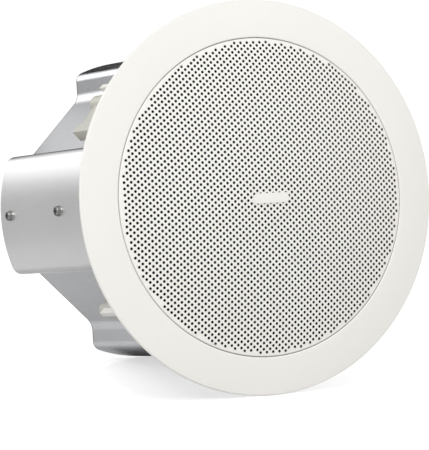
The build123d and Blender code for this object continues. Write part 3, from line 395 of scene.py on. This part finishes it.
def perforated_grille():
    """Domed sheet with every hole cut through, a rounded shoulder and an edge flange."""
    field = GRILLE_RADIUS - GRILLE_SHOULDER
    flat, triangles, holes = cut_field(hole_centres(), field)
    radius = np.hypot(flat[:, 0], flat[:, 1])
    points = [at_depth(flat, dome_depth(radius)), at_depth(flat, dome_depth(radius, GRILLE_SHEET))]
    count = len(flat)
    faces = [tuple(t) for t in triangles]
    faces += [tuple(t[::-1] + count) for t in triangles]
    for hole in holes:
        for k in range(HOLE_SIDES):
            faces.append((hole[k], hole[k - 1], hole[k - 1] + count, hole[k] + count))
    previous = 0
    start = 2 * count
    for ring_radius, y in edge_profile(field):
        points.append(at_depth(ring_points(ring_radius, RIM_SIDES), y))
        faces += band(previous, start)
        previous = start
        start += RIM_SIDES
    faces += band(previous, count)
    piece = new_piece("perforated_grille", np.vstack(points).tolist(), faces, MATERIALS["grille_paint"])
    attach(piece, "speaker")
    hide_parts("grille")


perforated_grille()


# Coat on the trim ring
def circle_through(a, b, c):
    """Centre and radius of the circle through three points."""
    (ax, ay), (bx, by), (cx, cy) = a, b, c
    twice = 2 * (ax * (by - cy) + bx * (cy - ay) + cx * (ay - by))
    a2, b2, c2 = ax**2 + ay**2, bx**2 + by**2, cx**2 + cy**2
    x = (a2 * (by - cy) + b2 * (cy - ay) + c2 * (ay - by)) / twice
    y = (a2 * (cx - bx) + b2 * (ax - cx) + c2 * (bx - ax)) / twice
    return (x, y), math.hypot(ax - x, ay - y)


def coat_profile():
    """Radius and y of each ring, round the crown's inner edge and out over the crown."""
    outer = (RING_RADIUS, -RING_RIM_HEIGHT)
    inner = (GRILLE_RADIUS + GRILLE_GAP, GRILLE_FRONT)
    middle = ((RING_RADIUS + GRILLE_RADIUS) / 2, (GRILLE_FRONT - RING_RIM_HEIGHT) / 2 - RING_CROWN)
    (cx, cy), size = circle_through(outer, middle, inner)
    start = inner[0] + RING_ROUND
    end = outer[0] - RING_ROUND
    profile = []
    for turn in COAT_EDGE_TURNS:
        x = start + (RING_ROUND + COAT) * math.cos(math.radians(turn))
        y = inner[1] + RING_ROUND_CENTRE + (RING_ROUND + COAT) * math.sin(math.radians(turn))
        profile.append((x, y))
    for n in range(COAT_STEPS + 1):
        x = start + (end - start) * n / COAT_STEPS
        profile.append((x, cy - math.sqrt((size + COAT) ** 2 - (x - cx) ** 2)))
    return profile


def ring_coat():
    """Thin coat over the ring's crown and round its inner edge."""
    profile = coat_profile()
    points = [at_depth(ring_points(radius, RIM_SIDES), y) for radius, y in profile]
    faces = []
    for row in range(len(profile) - 1):
        faces += band(row * RIM_SIDES, (row + 1) * RIM_SIDES)
    points = np.vstack(points).tolist()
    piece = new_piece("ring_coat", points, faces, MATERIALS["ring_moulding"], smooth=True)
    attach(piece, "speaker")


ring_coat()


# Floor and backdrop
def stage_material(name):
    """An empty material for the stage, with its output and the calls that build its nodes."""
    material = bpy.data.materials.new(name)
    material.use_nodes = True
    nodes = Nodes(material.node_tree)
    nodes.tree.nodes.clear()
    return material, nodes, nodes.node("ShaderNodeOutputMaterial")


def white_floor():
    """Pale floor that shows the shadow and glows a little where it is looked at."""
    material, nodes, output = stage_material("white_floor")
    looked_at = nodes.node("ShaderNodeLightPath").outputs["Is Camera Ray"]
    matt = nodes.node("ShaderNodeBsdfDiffuse", {"Color": srgb(FLOOR_GREY, FLOOR_GREY, FLOOR_GREY)})
    polish = nodes.node("ShaderNodeBsdfGlossy", {"Color": WHITE, "Roughness": FLOOR_ROUGHNESS})
    body = nodes.node(
        "ShaderNodeMixShader", {"Fac": FLOOR_POLISH, 1: matt.outputs[0], 2: polish.outputs[0]}
    )
    seen = nodes.node("ShaderNodeMath", {0: looked_at, 1: FLOOR_GLOW}, operation="MULTIPLY")
    glow = nodes.node("ShaderNodeEmission", {"Color": WHITE, "Strength": seen.outputs[0]})
    both = nodes.node("ShaderNodeAddShader", {0: body.outputs[0], 1: glow.outputs[0]})
    nodes.fill(output.inputs["Surface"], both.outputs[0])
    return material


def lay_floor():
    """Flat ground that touches the ring's lowest edge."""
    corners = []
    for across, along in SQUARE:
        run = along * FLOOR_REACH
        height = run * math.sin(FLOOR_TILT) - RING_RADIUS
        corners.append((across * FLOOR_REACH, run * math.cos(FLOOR_TILT), height))
    floor = new_piece("floor", corners, [(0, 1, 2, 3)], white_floor())


def studio_world():
    """White room: plain white where it is looked at, dimmer as light and in reflections."""
    world = bpy.data.worlds.new("studio")
    bpy.context.scene.world = world
    world.use_nodes = True
    nodes = Nodes(world.node_tree)
    rays = nodes.node("ShaderNodeLightPath").outputs
    seen = nodes.node(
        "ShaderNodeMath", {0: rays["Is Camera Ray"], 1: rays["Is Transmission Ray"]}, operation="MAXIMUM"
    )
    unseen = nodes.node(
        "ShaderNodeMapRange",
        {"Value": rays["Is Glossy Ray"], "To Min": WORLD_LIGHT, "To Max": WORLD_REFLECTED},
    )
    strength = nodes.node(
        "ShaderNodeMapRange", {"Value": seen.outputs[0], "To Min": unseen.outputs["Result"], "To Max": 1.0}
    )
    background = nodes.tree.nodes["Background"].inputs
    nodes.fill(background["Color"], WHITE)
    nodes.fill(background["Strength"], strength.outputs["Result"])


# Studio cards and lamps
def look(place, aim, axis):
    """Turn that points an object's axis from its place to its aim."""
    return (Vector(aim) - Vector(place)).to_track_quat(axis, "Y")


def card(name, place, aim, width, height, colour, strength):
    """A studio card that only reflections show, and only from the side that faces its aim."""
    material, nodes, output = stage_material(name)
    glow = nodes.node("ShaderNodeEmission", {"Color": colour, "Strength": strength})
    clear = nodes.node("ShaderNodeBsdfTransparent")
    behind = nodes.node("ShaderNodeNewGeometry").outputs["Backfacing"]
    one_sided = nodes.node("ShaderNodeMixShader", {"Fac": behind, 1: glow.outputs[0], 2: clear.outputs[0]})
    nodes.fill(output.inputs["Surface"], one_sided.outputs[0])
    corners = [(across * width / 2, along * height / 2, 0) for across, along in SQUARE]
    piece = new_piece(name, corners, [(0, 1, 2, 3)], material)
    piece.location = place
    piece.rotation_euler = look(place, aim, "Z").to_euler()
    piece.visible_camera = False
    piece.visible_diffuse = False
    piece.visible_shadow = False
    piece.visible_transmission = False
    piece.visible_volume_scatter = False


def soft_box(name, place, size, watts):
    """A square area lamp that points at the middle of the trim ring."""
    light = bpy.data.lights.new(name, "AREA")
    light.shape = "RECTANGLE"
    light.size = size
    light.size_y = size
    light.energy = watts
    lamp = bpy.data.objects.new(name, light)
    lamp.location = place
    lamp.rotation_euler = look(place, (0, 0, 0), "-Z").to_euler()
    bpy.context.scene.collection.objects.link(lamp)


def photo_camera():
    """The camera that stands where the photo was taken from."""
    optics = bpy.data.cameras.new("camera")
    optics.sensor_fit = "VERTICAL"
    optics.sensor_height = SENSOR
    optics.lens = FOCAL_PIXELS * SENSOR / PHOTO_HEIGHT
    camera = bpy.data.objects.new("camera", optics)
    camera.location = CAMERA_PLACE
    turn = look(CAMERA_PLACE, CAMERA_AIM, "-Z").to_matrix().to_4x4()
    camera.rotation_euler = (turn @ Matrix.Rotation(-CAMERA_ROLL, 4, "Z")).to_euler()
    bpy.context.scene.collection.objects.link(camera)
    bpy.context.scene.camera = camera


lay_floor()
studio_world()
card(
    "white_card",
    place=(-0.29, 0.79, 0.33),
    aim=(-0.05, 0.06, 0.05),
    width=0.36,
    height=0.30,
    colour=WHITE,
    strength=1.8,
)
card(
    "dark_card",
    place=(0.045, 0.21, 0.105),
    aim=(0.0, 0.0, 0.09),
    width=0.14,
    height=0.09,
    colour=srgb(40, 40, 40),
    strength=1.0,
)
card(
    "low_dark_card",
    place=(-0.03, 0.20, 0.045),
    aim=(-0.07, 0.1, 0.035),
    width=0.06,
    height=0.04,
    colour=srgb(40, 40, 40),
    strength=1.0,
)
soft_box("key_light", place=(-1.5, -1.1, 1.3), size=1.4, watts=28)
soft_box("fill_light", place=(1.4, -1.8, 0.9), size=1.5, watts=13)
photo_camera()
bpy.context.scene.view_settings.view_transform = "Standard"
